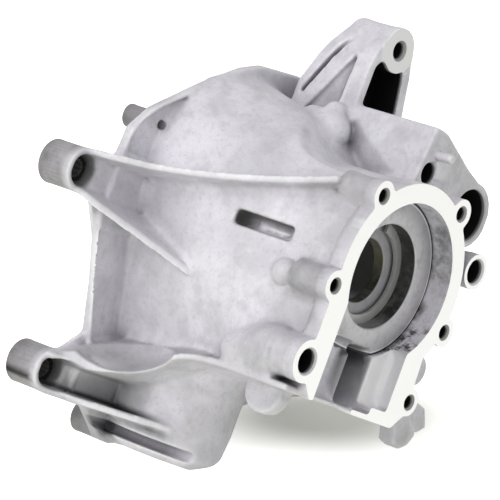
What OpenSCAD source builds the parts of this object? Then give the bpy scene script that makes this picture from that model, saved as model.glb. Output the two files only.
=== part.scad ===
// Crankcase half: a cast aluminium housing with a machined joint face.
// X runs along the crank axis and out of the joint face, Y runs across and Z
// runs up. The part is drawn from the joint face at X 0 and then set with its
// origin in the middle of the bearing seat. Places that are given as two numbers
// are [across, up] in a plane square to the crank axis.

/* [Joint face] */
// Radius of the round crank chamber
chamber_r = 39.5; // [38:0.5:41]
// Depth of the chamber below the joint face
chamber_depth = 12; // [10:0.5:14]
// Width of the machined face round the chamber
face_w = 9.5; // [8:0.5:11]
// Thickness of the joint flange
face_t = 9; // [7:0.5:11]
// Depth of the lower edge of the joint face under the crank axis
face_drop = 67; // [64:1:70]
// Radius of the circle that the four joint screws lie on
screw_circle_r = 50.7; // [50:0.1:52]
// Radius of the joint screw holes
screw_hole_r = 3.3; // [2.5:0.1:3.8]
// Radius of the lugs round the joint screws
lug_r = 7.5; // [6.5:0.5:8]
// Depth of the joint screw holes
screw_hole_depth = 22; // [16:1:26]
// Radius of the two big dowel holes
dowel_hole_r = 6; // [5:0.25:6.5]
// Depth of the two big dowel holes
dowel_hole_depth = 26; // [20:1:34]

/* [Bearing seat] */
// Radius of the bearing seat
seat_r = 26; // [24:0.5:28]
// Length of the bearing seat
seat_len = 12; // [10:0.5:14]
// Radius of the shaft hole behind the seat
shaft_hole_r = 15.9; // [14:0.1:18]
// Thickness of the wall behind the seat
seat_back_t = 6; // [5:0.5:8]
// Thickness of the snap ring in the seat
ring_t = 1.6; // [1.2:0.1:2]
// Width of the snap ring, measured across the ring
ring_w = 4.5; // [3.5:0.5:6]

/* [Channel] */
// Place of the channel's near wall across the face
channel_near = -35; // [-37:0.5:-33]
// Place of the channel's far wall across the face
channel_far = 25; // [23:0.5:27]
// Depth of the deep slot in the channel
slot_depth = 34; // [28:1:38]
// Thickness of the channel's bottom wall
channel_floor_t = 2.5; // [2:0.5:4]

/* [Bell] */
// Distance of the bell flange's front from the joint face
flange_x = 119; // [115:1:124]
// Thickness of the bell flange
flange_t = 6; // [5:0.5:8]
// Distance of the boss ends from the joint face
boss_end_x = 142; // [136:1:148]
// Thickness of the cast walls
wall = 5; // [4:0.5:6]
// Depth of the sump's bottom under the crank axis
sump_drop = 120; // [116:1:121]
// Radius of the long flange bosses
boss_r = 11; // [10:0.5:12]
// Radius of the screw holes in the long bosses
boss_hole_r = 4.2; // [3:0.1:5]
// Radius of the pockets for the screw heads
pocket_r = 7.8; // [7:0.1:8.2]

/* [Side] */
// Thickness of the long ribs
rib_t = 3.4; // [2.5:0.1:4.5]
// Height of the long side slot
side_slot_h = 7; // [5:0.5:9]
// Depth of the long side slot
side_slot_depth = 5; // [4:0.5:8]

/* [Mounting arm] */
// Height of the arm's eye above the crank axis
eye_z = 111; // [106:0.5:118]
// Place of the arm's eye across the case
eye_y = 26.5; // [24:0.5:29]
// Outer radius of the eye
eye_r = 11.7; // [11:0.5:13]
// Radius of the hole in the eye
eye_hole_r = 4.3; // [3:0.1:6]
// Distance of the arm's front from the joint face
arm_x = 68; // [64:1:72]
// Width of the arm
arm_w = 40; // [38:0.5:42]

/* [Port block] */
// Distance of the port face from the joint face
port_x = 18; // [14:1:22]
// Radius of the big port
port_r = 13.4; // [11:0.1:14]
// Thickness of the wall round the big port
port_wall = 3.6; // [3:0.1:5]
// Radius of the small port
small_port_r = 5.4; // [4:0.1:6.5]

/* [Hidden] */
$fn = 64;
// Small overlap that keeps a cut clear of a face, and a length that reaches past
// the whole part.
over = 1;
beyond = 260;
cast_colour = [0.76, 0.75, 0.78];
steel_colour = [0.42, 0.43, 0.42];

// Joint face: screws at these angles from the far side, counted upwards.
screw_angles = [137.2, 56.7, -16, 194.9];
face_r = chamber_r + face_w;
flange_back = -flange_x - flange_t;
dowel_lug_r = 10.6;
pad_depth = 9;
rim_groove_w = 3.5;
rim_groove_t = 2.5;
ring_groove_r = seat_r + 1.3;
ring_play = 0.2;
ring_gap = 7;
ring_back = -chamber_depth - seat_len + 1.4;
rim_top = -face_drop + 6.5;
slot_near = -3;
slot_far = 12;
slot_top = -35;
near_dowel = [-49.3, -50.5];
far_dowel = [56.5, 19.5];
low_screw = [41, -52];
low_lug_r = 7;
far_swell = [50, -36];
boss_run = 23;
panel_depth = 2.5;
rim_step = 3;
neck_r = 47;
neck_len = 60;

// Crown: an S-shaped line from the hump over the bell down to the neck.
crown_turn = -70;
crown_soft = 8;
crown_low = 40;
crown_rise = 37;
function crown_z(x) = crown_low + crown_rise / (1 + exp((x - crown_turn) / crown_soft));

// Bell: circles [across, up, radius] that its outline is drawn from.
bell_circles = [[-5, 15, 60], [24, 4, 54], [-10, -60, 31], [30, -42, 40]];
bell_front = 8;
near_boss_top = [-104, -2];
near_boss_low = [-76, -97.3];
low_boss = [-19, -114];
small_boss = [-63.5, 33];
far_boss = [87, -72];
low_boss_r = 8.5;
pocket_depth = 6;
small_hole_r = 2.5;
small_boss_r = 6;

// Shelf rib: an S-shaped line along the side, from the joint face down to
// the low boss.
shelf_turn = -81;
shelf_soft = 8;
shelf_fall = 25;
function shelf_z(x) =
    -face_drop + 2 - shelf_fall / (1 + exp((x - shelf_turn) / shelf_soft));

// High rib: a circular arc along the side.
high_arc_r = 397;
high_arc_x = -172.8;
high_arc_z = 401.5;

// Sets what is drawn from the joint face with the seat's middle at the origin.
module to_seat() {
    translate([chamber_depth + seat_len / 2, 0, 0]) children();
}

module along_x(from, to) {
    translate([from, 0, 0]) rotate([90, 0, 90]) linear_extrude(to - from) children();
}

module rod(place, r, from, to) {
    translate([from, place[0], place[1]]) rotate([0, 90, 0]) cylinder(r = r, h = to - from);
}

function on_circle(r, angle) = [r * cos(angle), r * sin(angle)];

// The machined joint face, as an outline.
module face_outline() {
    circle(r = face_r);
    for (a = screw_angles) translate(on_circle(screw_circle_r, a)) circle(r = lug_r);
    translate(near_dowel) circle(r = dowel_lug_r);
    translate(far_dowel) circle(r = dowel_lug_r - 1.5);
    translate(low_screw) circle(r = low_lug_r);
    polygon([[-49, -15], [0, -15], [0, -face_drop], [-38, -face_drop], [-49, -56]]);
    polygon([[0, -15], [46, -15], [39, -28], [41, -58], [33, -face_drop], [0, -face_drop]]);
}

// The loft between the bell and the joint flange, cut along the shelf and the
// crown, with the round neck behind the joint flange.
module case_form(inset, rear) {
    intersection() {
        hull() {
            for (c = bell_circles)
                rod(c, c[2] - inset, rear, -flange_x - panel_depth, $fn = 32);
            rod([0, 0], neck_r - inset, -bell_front - 1 - inset, -bell_front - inset, $fn = 32);
            for (y = [-34, 28])
                rod([y, -52], 12 - inset, -bell_front - 1 - inset, -bell_front - inset, $fn = 32);
        }
        between_lines(inset);
    }
    rod([0, 0], neck_r - inset, -neck_len + inset, -bell_front - inset);
}

// Everything above the shelf line and below the crown line.
module between_lines(inset) {
    steps = 28;
    x0 = -flange_x - flange_t - 2 * over;
    run = -x0 / steps;
    low = [for (i = [0:steps]) [x0 + i * run, shelf_z(x0 + i * run) + inset]];
    high = [for (i = [steps:-1:0]) [x0 + i * run, crown_z(x0 + i * run) - inset]];
    rotate([90, 0, 0]) translate([0, 0, -beyond / 2])
        linear_extrude(beyond) polygon(concat(low, high));
}

// The sump below the shelf: rounded nose towards the joint face.
sump_posts = [[-94, -8, 28], [-114, 20, 28], [-114, 2, 28]];
module sump_form(inset) {
    hull() {
        for (p = sump_posts) {
            translate([p[0], p[1], -sump_drop + 5 + inset]) cylinder(r = p[2] - inset, h = 50, $fn = 32);
            translate([p[0], p[1], -sump_drop + inset]) cylinder(r = p[2] - 5 - inset, h = 50, $fn = 32);
        }
    }
}

// Outline of the bell flange, with its lugs.
module flange_outline() {
    polygon([
        [-85, -19], [-71, -50], [-60, -81], [-62, -108], [-46, -109], [-28, -121.5],
        [36, -sump_drop - 1], [60, -108], [72, -90], [92, -80], [94, -40], [93, 10], [84, 48],
        [62, 74], [24, 84.5], [-6, 81], [-20, 75.5], [-45, 60], [-74, 39], [-84, 26], [-85, 13]]);
    translate(far_boss) circle(r = boss_r);
    translate(low_boss) circle(r = low_boss_r);
}

// Shallow panels in the front of the flange, inside its raised rim.
module flange_panels() {
    polygon([[-81.5, -25], [-57, -22], [-37, -71], [-57, -79], [-67.5, -57.5]]);
    polygon([[-82, 14], [-82.5, 21], [-78, 32], [-68, 41.5], [-47, 55.5], [-24, 70], [-20, 60],
             [-50, 30], [-50, 14]]);
}

module bell_flange() {
    difference() {
        along_x(flange_back, -flange_x) flange_outline();
        along_x(-flange_x - panel_depth, -flange_x + over) flange_panels();
    }
    // webs that carry the two long bosses
    along_x(flange_back, -flange_x - rim_step) {
        polygon([[-80, 12], near_boss_top + [0, boss_r], near_boss_top - [0, boss_r],
                 near_boss_top + [boss_r, -boss_r], [-80, -30]]);
        polygon([[-58, -70], near_boss_low + [0, boss_r], near_boss_low - [0, boss_r], [-50, -109]]);
    }
}

// High rib from the top boss to the joint lug.
module high_rib() {
    intersection() {
        translate([high_arc_x, 0, high_arc_z]) rotate([90, 0, 0]) difference() {
            cylinder(r = high_arc_r + rib_t / 2, h = beyond, $fn = 360);
            translate([0, 0, -over])
                cylinder(r = high_arc_r - rib_t / 2, h = beyond + 2 * over, $fn = 360);
        }
        linear_extrude(beyond)
            polygon([[-flange_x - 3, -106], [-flange_x + 6, -98], [-100, -85], [-75, -73],
                     [-45, -60], [-20, -49], [-20, -20], [-flange_x - 3, -20]]);
    }
}

// Shelf rib along the S-shaped line, with its sloping top.
module shelf_rib() {
    steps = 28;
    x0 = -flange_x - rim_step;
    run = (-4 - x0) / steps;
    low = [for (i = [0:steps]) [x0 + i * run, shelf_z(x0 + i * run) - rib_t / 2]];
    high = [for (i = [steps:-1:0]) [x0 + i * run, shelf_z(x0 + i * run) + rib_t / 2]];
    intersection() {
        rotate([90, 0, 0]) linear_extrude(beyond) polygon(concat(low, high));
        translate([0, 0, -beyond]) linear_extrude(beyond)
            polygon([[x0, -84], [-104, -71], [-91, -65], [-80, -59.5], [-58, -54], [-4, -53],
                     [-4, 0], [x0, 0]]);
    }
    // sloping top between the side wall and the rib
    intersection() {
        hull() {
            along_x(x0, x0 + 1) polygon([[-34, -70], [-80, -87], [-80, -99], [-30, -99]]);
            along_x(-59, -58) polygon([[-43, -62.5], [-52, -65.5], [-52, -72], [-40, -72]]);
        }
        rotate([90, 0, 0]) linear_extrude(beyond)
            polygon(concat(low, [[-4, -40], [x0, -40]]));
    }
}

// A straight rib in the side plane, between two [x, z] ends.
module side_rib(a, b, y_out, y_in) {
    angle = atan2(b[1] - a[1], b[0] - a[0]);
    len = norm(b - a);
    translate([a[0], 0, a[1]]) rotate([90, 0, 0]) translate([0, 0, -y_in]) rotate([0, 0, angle])
        translate([0, -rib_t / 2, 0]) cube([len, rib_t, y_in - y_out]);
}

module pocket_ribs() {
    // diagonal rib under the top pocket
    intersection() {
        side_rib([-flange_x - rim_step, near_boss_top[1] - boss_r + 2], [-77, -31.5], -115, -40);
        translate([0, 0, -beyond / 2]) linear_extrude(beyond)
            polygon([[-flange_x - rim_step, -106], [-flange_x + 6, -98], [-90, -67], [-81, -56],
                     [-77, -40], [-flange_x - rim_step, -40]]);
    }
    // rib under the low pocket
    intersection() {
        side_rib([-flange_x - rim_step, near_boss_low[1] - boss_r + 1.5], [-64, -103.5], -90, -10);
        translate([0, 0, -beyond]) linear_extrude(beyond)
            polygon([[-flange_x - rim_step, -80], [-flange_x + 6, -73], [-76, -32], [-72, -10],
                     [-flange_x - rim_step, -10]]);
    }
}

module long_boss(place, r) {
    rod(place, r, -boss_end_x, -flange_x - rim_step);
}

// The screw bosses behind the joint face.
module face_bosses() {
    for (a = screw_angles) rod(on_circle(screw_circle_r, a), lug_r, -boss_run, -face_t + over);
    rod(low_screw, low_lug_r, -boss_run, -face_t + over);
    rod(far_swell, 8, -50, -face_t + over);
    rod(far_dowel, dowel_lug_r - 1.5, -34, -face_t + over);
    rod(near_dowel, dowel_lug_r, -20, -face_t + over);
    // swollen root of the near dowel boss
    hull() {
        rod(near_dowel, dowel_lug_r + 1.6, -25, -15, $fn = 32);
        translate([-41, -48, -56]) sphere(r = 9, $fn = 32);
    }
}

// Mounting arm: a hollow foot with an eye across its top. The near flank stands
// nearly upright, the far one leans out, and both are turned a little.
eye_len = 27;
arm_wall = 5;
arm_near = 8;
arm_turn = -5;
hollow_depth = 24;
hollow_low = 70;
module arm() {
    front = -arm_x;
    slope_top = front - 28;
    slope_low = front - 43;
    difference() {
        union() {
            intersection() {
                rotate([90, 0, 0]) translate([0, 0, -beyond / 2]) linear_extrude(beyond)
                    polygon([[front, 60], [front, eye_z], [front - 3, eye_z + 9], [slope_top, eye_z + 6],
                             [slope_low, 82], [slope_low, 60]]);
                arm_turned() arm_flanks();
            }
            rod([eye_y, eye_z], eye_r, front - eye_len, front);
        }
        difference() {
            arm_turned() arm_hollow();
            rod([eye_y, eye_z], eye_r, front - hollow_depth - 10, front + 10);
        }
        rod([eye_y, eye_z], eye_hole_r, front - eye_len - 10, front + over);
        rod([eye_y, eye_z], eye_r - 3, front - eye_len - 10, front - eye_len);
        // triangular recess and groove in the near flank
        arm_turned() {
            arm_recess([[-11, 103], [-13, 70], [-34, 67]], 3);
            arm_recess([[-14, 120], [-17, 120], [-40, 77], [-37.5, 77]], 5);
        }
    }
}

// Turns what is drawn from the arm's near front edge about that edge.
module arm_turned() {
    translate([-arm_x, arm_near, 0]) rotate([0, 0, arm_turn]) children();
}

module arm_flanks() {
    eye_at = eye_y - arm_near;
    along_x(-60, 10)
        polygon([[0, 0], [0, eye_z - 14], [1.5, eye_z - 6], [eye_at - eye_r - 1, eye_z + 3],
                 [eye_at - 7, eye_z + eye_r - 1.5], [eye_at, eye_z + eye_r], [eye_at + eye_r, eye_z + 2],
                 [arm_w - 5, eye_z - 10], [arm_w, eye_z - 29], [arm_w, 0]]);
}

// Hollow under the eye, open to the front.
module arm_hollow() {
    far = arm_w - arm_wall - 2;
    along_x(-hollow_depth, 10)
        polygon([[arm_wall, hollow_low], [arm_wall, eye_z - 13], [arm_wall + 3, eye_z - 9],
                 [far - 6, eye_z - 9], [far - 4, eye_z - 13], [far, eye_z - 29], [far, hollow_low]]);
}

// A recess in the near flank of the arm, down to the given depth across.
module arm_recess(outline, depth) {
    translate([0, depth, 0]) rotate([90, 0, 0]) linear_extrude(30) polygon(outline);
}

// Port block on the far side, above the joint flange.
big_port = [60.6, 45.4];
small_port = [15.5, 55.5];
spigot = [17, 65.4];
spigot_r = 2.6;
spigot_len = 10;
module port_block() {
    difference() {
        along_x(-arm_x - 10, -port_x)
            polygon([[10, 78], [20, 77.5], [48, 66], [71, 59], [60, 20], [20, 20], [6, 45]]);
        // ramp from the foot of the arm down to the neck
        translate([-47.5, 7.7, 59.3]) rotate([22, 0, -18])
            translate([-beyond / 2, -beyond, -beyond / 2]) cube(beyond);
    }
    rod(big_port, port_r + port_wall, -50, -port_x);
    rod(spigot, spigot_r, -port_x - over, -port_x + spigot_len);
}

// The channel from the crank chamber down through the lower edge.
module channel_cut() {
    // open front part, over the pad on the far side
    along_x(-pad_depth, over)
        polygon([[channel_near, -10], [channel_far, -10], [channel_far, rim_top],
                 [slot_far - 15, rim_top], [slot_far - 15, -face_drop - over],
                 [channel_near, -face_drop - over]]);
    along_x(-chamber_depth, over)
        polygon([[channel_near, -10], [slot_far, -10], [slot_far, -face_drop + channel_floor_t],
                 [channel_near, -face_drop + channel_floor_t]]);
    // deep slot
    along_x(-slot_depth, 0)
        polygon([[slot_near, slot_top], [slot_far, slot_top],
                 [slot_far, -face_drop + channel_floor_t], [slot_near, -face_drop + channel_floor_t]]);
    // rounded trough beside the near wall
    translate([4 - chamber_depth, (channel_near + slot_near) / 2, -face_drop + channel_floor_t])
        cylinder(r = (slot_near - channel_near) / 2, h = slot_top + face_drop - channel_floor_t + 10);
}

module casting() {
    color(cast_colour) to_seat()
    difference() {
        union() {
            along_x(-face_t, 0) face_outline();
            case_form(0, flange_back);
            difference() {
                sump_form(0);
                along_x(flange_back - beyond, flange_back) square(beyond, center = true);
            }
            bell_flange();
            high_rib();
            shelf_rib();
            pocket_ribs();
            long_boss(near_boss_top, boss_r);
            long_boss(near_boss_low, boss_r);
            long_boss(far_boss, boss_r);
            long_boss(low_boss, low_boss_r);
            long_boss(small_boss, small_boss_r);
            face_bosses();
            arm();
            port_block();
            knuckle();
            foot();
            swellings();
        }
        // inside of the bell and the sump
        difference() {
            union() {
                case_form(wall, flange_back - over);
                sump_form(wall);
            }
            along_x(-chamber_depth - seat_len - seat_back_t, over) square(beyond, center = true);
            // metal round the channel's deep slot
            translate([-slot_depth - seat_back_t, channel_near, -beyond + slot_top + wall])
                cube([slot_depth, slot_far + wall - channel_near, beyond]);
            side_slot_back();
            low_groove_back();
        }
        // crank chamber, bearing seat and shaft hole
        rod([0, 0], chamber_r, -chamber_depth, over);
        difference() {
            rod([0, 0], chamber_r, -chamber_depth - rim_groove_t, over);
            rod([0, 0], chamber_r - rim_groove_w, -chamber_depth - rim_groove_t - over, over);
        }
        rod([0, 0], ring_groove_r, ring_back, ring_back + ring_t);
        rod([0, 0], seat_r, -chamber_depth - seat_len, over);
        rod([0, 0], shaft_hole_r, -60, over);
        channel_cut();
        // screw holes
        for (a = screw_angles)
            rod(on_circle(screw_circle_r, a), screw_hole_r, -screw_hole_depth, over);
        rod(low_screw, screw_hole_r, -screw_hole_depth, over);
        rod(near_dowel, dowel_hole_r, -dowel_hole_depth, over);
        rod(far_dowel, dowel_hole_r, -dowel_hole_depth, over);
        for (b = [near_boss_top, near_boss_low]) {
            rod(b, boss_hole_r, -boss_end_x - over, -flange_x);
            rod(b, pocket_r, -flange_x - rim_step - pocket_depth, -96);
        }
        rod(low_boss, boss_hole_r, -boss_end_x - over, -flange_x - rim_step);
        rod(small_boss, small_hole_r, -boss_end_x - over, -flange_x + over);
        rod(far_boss, boss_hole_r, -boss_end_x - over, -flange_x + over);
        low_groove();
        // ports
        rod(big_port, port_r, -46, -port_x + over);
        rod(small_port, small_port_r, -40, -port_x + over);
        // side slot
        side_slot();
    }
}

// Rounded knuckle in the valley between the hump and the arm's foot.
knuckle_r = 9;
module knuckle() {
    translate([-77, 6, 62]) {
        sphere(r = knuckle_r);
        rotate([0, 90, 0]) translate([0, 0, -14]) cylinder(r = knuckle_r, h = 14);
        cylinder(r1 = knuckle_r, r2 = knuckle_r - 3, h = 8);
        translate([0, 0, 8]) sphere(r = knuckle_r - 3);
    }
}

// The side slot, turned to lie along the side wall.
slot_mid = [-48.5, -53.6, 3.2];
slot_run = 32;
slot_turn = 10;
module side_slot() {
    translate(slot_mid) rotate([0, 0, slot_turn]) {
        translate([-slot_run / 2, -30, -side_slot_h / 2])
            cube([slot_run, 30 + side_slot_depth, side_slot_h]);
        // deeper rear end
        translate([-slot_run / 2, 0, -side_slot_h / 2])
            cube([slot_run / 3, side_slot_depth + 2, side_slot_h]);
    }
}

// Solid metal inside the wall behind the side slot.
module side_slot_back() {
    translate(slot_mid) rotate([0, 0, slot_turn])
        translate([-slot_run / 2 - wall, -side_slot_depth, -side_slot_h / 2 - wall])
            cube([slot_run + 2 * wall, 2 * side_slot_depth + wall + 1, side_slot_h + 2 * wall]);
}

// Groove in the sump's near lower edge, in line with the low boss.
groove_r = 2.5;
groove_end = -62;
module low_groove() {
    rod(low_boss, groove_r, -flange_x - rim_step, groove_end);
    translate([-flange_x - rim_step, low_boss[0] - beyond, low_boss[1] - groove_r])
        cube([flange_x + rim_step + groove_end, beyond, 2 * groove_r]);
}

// Solid metal inside the sump behind that groove.
module low_groove_back() {
    translate([flange_back, low_boss[0] - beyond, low_boss[1] + groove_r + wall - beyond])
        cube([flange_x, beyond + groove_r + wall, beyond]);
}

// Foot and tab at the far lower corner of the joint flange.
module foot() {
    along_x(-14, -4)
        polygon([[38, -61], [44, -68], [46.5, -74], [53, -75.5], [59, -72], [62, -66.5], [60, -62],
                 [55, -60.5], [50, -54], [40, -50]]);
    along_x(-22, -13)
        polygon([[46, -48], [66, -50], [76, -52], [82, -61], [76, -65], [54, -62], [44, -60]]);
    along_x(-30, -8) polygon([[30, -64], [52, -64], [52, -34], [30, -34]]);
}

// Swellings under the channel and behind the near joint screw.
module swellings() {
    translate([-42, -9, -70]) rotate([90, 0, 0]) cylinder(r = 11.5, h = 9);
    translate([-29.5, -50, -14.5]) sphere(r = 7);
}

// Snap ring in its groove at the bottom of the bearing seat.
module snap_ring() {
    color(steel_colour) to_seat()
    difference() {
        rod([0, 0], ring_groove_r - ring_play, ring_back, ring_back + ring_t);
        rod([0, 0], seat_r - ring_w, ring_back - over, ring_back + ring_t + over);
        translate([ring_back - over, -ring_gap / 2, 0]) cube([ring_t + 2 * over, ring_gap, seat_r + wall]);
    }
}

casting();
snap_ring();
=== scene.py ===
import math
from collections import namedtuple

import bpy
import numpy as np
from bpy.props import FloatProperty, FloatVectorProperty, IntProperty, PointerProperty
from mathutils import Euler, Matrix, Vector
from mathutils.bvhtree import BVHTree


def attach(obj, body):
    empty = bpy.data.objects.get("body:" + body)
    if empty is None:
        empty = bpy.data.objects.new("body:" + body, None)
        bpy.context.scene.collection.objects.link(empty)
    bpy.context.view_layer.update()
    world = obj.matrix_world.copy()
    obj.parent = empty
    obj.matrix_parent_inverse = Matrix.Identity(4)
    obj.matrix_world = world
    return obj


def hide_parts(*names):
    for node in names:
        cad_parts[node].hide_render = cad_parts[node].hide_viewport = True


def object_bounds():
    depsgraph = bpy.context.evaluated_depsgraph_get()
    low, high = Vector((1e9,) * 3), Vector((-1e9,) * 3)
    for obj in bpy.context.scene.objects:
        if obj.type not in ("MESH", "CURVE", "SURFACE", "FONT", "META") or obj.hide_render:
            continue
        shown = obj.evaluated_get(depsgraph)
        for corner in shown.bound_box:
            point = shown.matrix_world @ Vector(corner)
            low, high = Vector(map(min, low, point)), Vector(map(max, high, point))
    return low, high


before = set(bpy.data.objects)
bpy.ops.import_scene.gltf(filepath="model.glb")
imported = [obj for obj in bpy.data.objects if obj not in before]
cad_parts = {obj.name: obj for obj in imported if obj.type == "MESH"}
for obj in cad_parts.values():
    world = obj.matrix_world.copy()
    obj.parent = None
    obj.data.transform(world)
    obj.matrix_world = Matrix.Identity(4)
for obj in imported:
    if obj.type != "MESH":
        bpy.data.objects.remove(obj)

bl_info = {
    "name": "Crankcase half",
    "version": (1, 0, 0),
    "blender": (4, 5, 0),
    "location": "3D View > Sidebar > Crankcase",
    "description": "Dresses the crankcase half: cast skin, milled and turned faces, snap ring and stage",
    "category": "Object",
}

MM = 0.001
CAD_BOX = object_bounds()
FACE_X = round(CAD_BOX[1][0] / MM, 3)    # joint face along the crank axis, in mm
REAR_X = round(CAD_BOX[0][0] / MM, 3)    # ends of the long bosses along the crank axis, in mm


def on_circle(r, angle):
    return (r * math.cos(math.radians(angle)), r * math.sin(math.radians(angle)))


# Sizes of the drawing in mm. A place along the crank axis is given from the joint face and falls towards
# the bell. A place of two numbers is across and up from the crank axis.
BOSS_END = REAR_X - FACE_X
CHAMBER_R = 39.5
CHAMBER_DEPTH = 12.0
FLOOR_R = 38.4           # edge of the chamber's floor, where its narrow groove begins
SEAT_R = 26.0
SEAT_DEPTH = 24.0
RING_DEPTH = 21.0
RING_GROOVE_R = 27.3
RING_GROOVE_W = 1.6
SHAFT_HOLE_R = 15.9
PORT_FACE = -18.0
ARM_FACE = -68.0
ARM_BACK = -94.0
ARM_SIDE = 8.0
ARM_TURN = math.radians(5.0)
EYE = (26.5, 111.0)
EYE_R = 11.7
SLOT = (-48.5, -53.6, 3.2)
SLOT_TURN = math.radians(10.0)
BOSS_HOLE_R = 4.2
BARREL_R = 12.5          # skin nearer than this to a boss's middle belongs to its barrel

# Holes that open towards the joint face: where they open and end, and from where their walls are painted
# black as shade. One with no chamfer of its own gets the user's.
Hole = namedtuple("Hole", "place radius mouth bottom dark chamfer", defaults=(None,))
JOINT_SCREWS = [on_circle(50.7, a) for a in (137.2, 56.7, -16.0, 194.9)] + [(41.0, -52.0)]
DOWELS = [(-49.3, -50.5), (56.5, 19.5)]
SCREW_HOLES = [Hole(p, 3.3, 0.0, -22.0, -0.6) for p in JOINT_SCREWS]
DOWEL_HOLES = [Hole(p, 6.0, 0.0, -26.0, -1.0) for p in DOWELS]
PORTS = [Hole((60.6, 45.4), 13.4, PORT_FACE, -46.0, PORT_FACE - 1.0, 0.7),
         Hole((15.5, 55.5), 5.4, PORT_FACE, -40.0, PORT_FACE - 0.6, 0.6)]
EYE_HOLE = Hole(EYE, 4.3, ARM_FACE, ARM_BACK - 2.0, ARM_FACE - 1.0, 1.1)
FRONT_HOLES = SCREW_HOLES + DOWEL_HOLES + PORTS + [EYE_HOLE]

# Bosses whose holes open at the rear: the long ones, and the short ones with hole radius and bottom
LONG_BOSSES = [(-104.0, -2.0), (-76.0, -97.3)]
REAR_HOLES = [((87.0, -72.0), 4.2, -119.0), ((-19.0, -114.0), 4.2, -122.0), ((-63.5, 33.0), 2.5, -121.5)]
BARRELS = LONG_BOSSES + [h[0] for h in REAR_HOLES]

# How the skin is made
CAST, MILLED, TURNED, DARK_HOLE = range(4)    # the casting's materials, in their order
FLAT = 0.05              # a face is on a plane when it is nearer than this
SPARE = 0.3              # by how much a plug is wider than its hole
WIDE = 160.0             # reaches past the whole part
FINE_SIDES = 160         # sides of a big turned shape
SKY_RAYS = 14            # rays that look for a nearer surface from each point
GOLDEN_ANGLE = 2.39996   # turn between two rays, which spreads them evenly
RAY_START = 0.0003       # where the rays start above the skin, in metres
RAY_REACH = 0.017        # how far they look, in metres

# The photograph's view and its stage
CAMERA_TURN = (91.8726, -20.1761, 37.3286)          # in degrees
CAMERA_PLACE = (822.348, -1172.571, -53.809)        # in mm from the joint face
CAMERA_LENS = 216.0                                 # focal length in mm, on a sensor of 36 mm
LIT_PLACE = Vector((-0.05, 0.0, 0.0))               # where the lamps point, in metres
FLOOR_PLACE = Vector((-0.0593, 0.0865, -0.0728))    # middle of the floor, in metres


# Sizes and colours a user may change

class CastingSizes(bpy.types.PropertyGroup):
    grain: FloatProperty(
        name="Skin voxel", description="Size of the voxels that the cast skin is rebuilt from",
        default=0.0008, min=0.0007, max=0.003, precision=5, unit="LENGTH")
    rounding: IntProperty(
        name="Rounding passes", description="How often the cast edges are smoothed",
        default=11, min=0, max=40)
    ironing: IntProperty(
        name="Ironing passes", default=90, min=0, max=200,
        description="How often the wide cast faces are smoothed away from their edges")
    triangles: IntProperty(
        name="Triangles", description="Triangles that the cast skin keeps", default=150000, min=20000)
    chamfer: FloatProperty(
        name="Hole chamfer", description="Width of the chamfer at the mouth of each hole",
        default=0.0009, min=0.0, max=0.003, precision=5, unit="LENGTH")
    cast_colour: FloatVectorProperty(
        name="Cast skin", description="Colour of the cast skin", subtype="COLOR", size=4,
        default=(0.80, 0.785, 0.835, 1.0), min=0.0, max=1.0)
    milled_colour: FloatVectorProperty(
        name="Milled metal", description="Colour of the milled faces", subtype="COLOR", size=4,
        default=(0.73, 0.73, 0.73, 1.0), min=0.0, max=1.0)
    ring_colour: FloatVectorProperty(
        name="Ring steel", description="Colour of the snap ring", subtype="COLOR", size=4,
        default=(0.50, 0.50, 0.50, 1.0), min=0.0, max=1.0)


class StageSizes(bpy.types.PropertyGroup):
    key_power: FloatProperty(
        name="Key light", description="Power of the big soft light", default=3.3, min=0.0, unit="POWER")
    fill_power: FloatProperty(
        name="Fill light", description="Power of the fill light", default=0.7, min=0.0, unit="POWER")
    bounce_power: FloatProperty(
        name="Bounce light", description="Power of the low light at the left", default=0.45, min=0.0,
        unit="POWER")
    sky: FloatProperty(name="Sky", description="Strength of the white surroundings", default=0.6, min=0.0)
    floor_size: FloatProperty(
        name="Floor", description="Side of the floor", default=3.0, min=0.5, unit="LENGTH")


# Shader maths written as expressions

class Sock:
    """Wraps a shader socket or a number so that + - * / build Math nodes."""

    def __init__(self, tree, value):
        self.tree = tree
        self.value = value

    def _math(self, operation, other, swap=False):
        a, b = (other, self) if swap else (self, other)
        return self.tree.node("ShaderNodeMath", {"operation": operation}, {0: a, 1: b})

    def __add__(self, other):
        return self._math("ADD", other)

    def __radd__(self, other):
        return self._math("ADD", other, True)

    def __sub__(self, other):
        return self._math("SUBTRACT", other)

    def __rsub__(self, other):
        return self._math("SUBTRACT", other, True)

    def __mul__(self, other):
        return self._math("MULTIPLY", other)

    def __rmul__(self, other):
        return self._math("MULTIPLY", other, True)

    def __truediv__(self, other):
        return self._math("DIVIDE", other)


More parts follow.
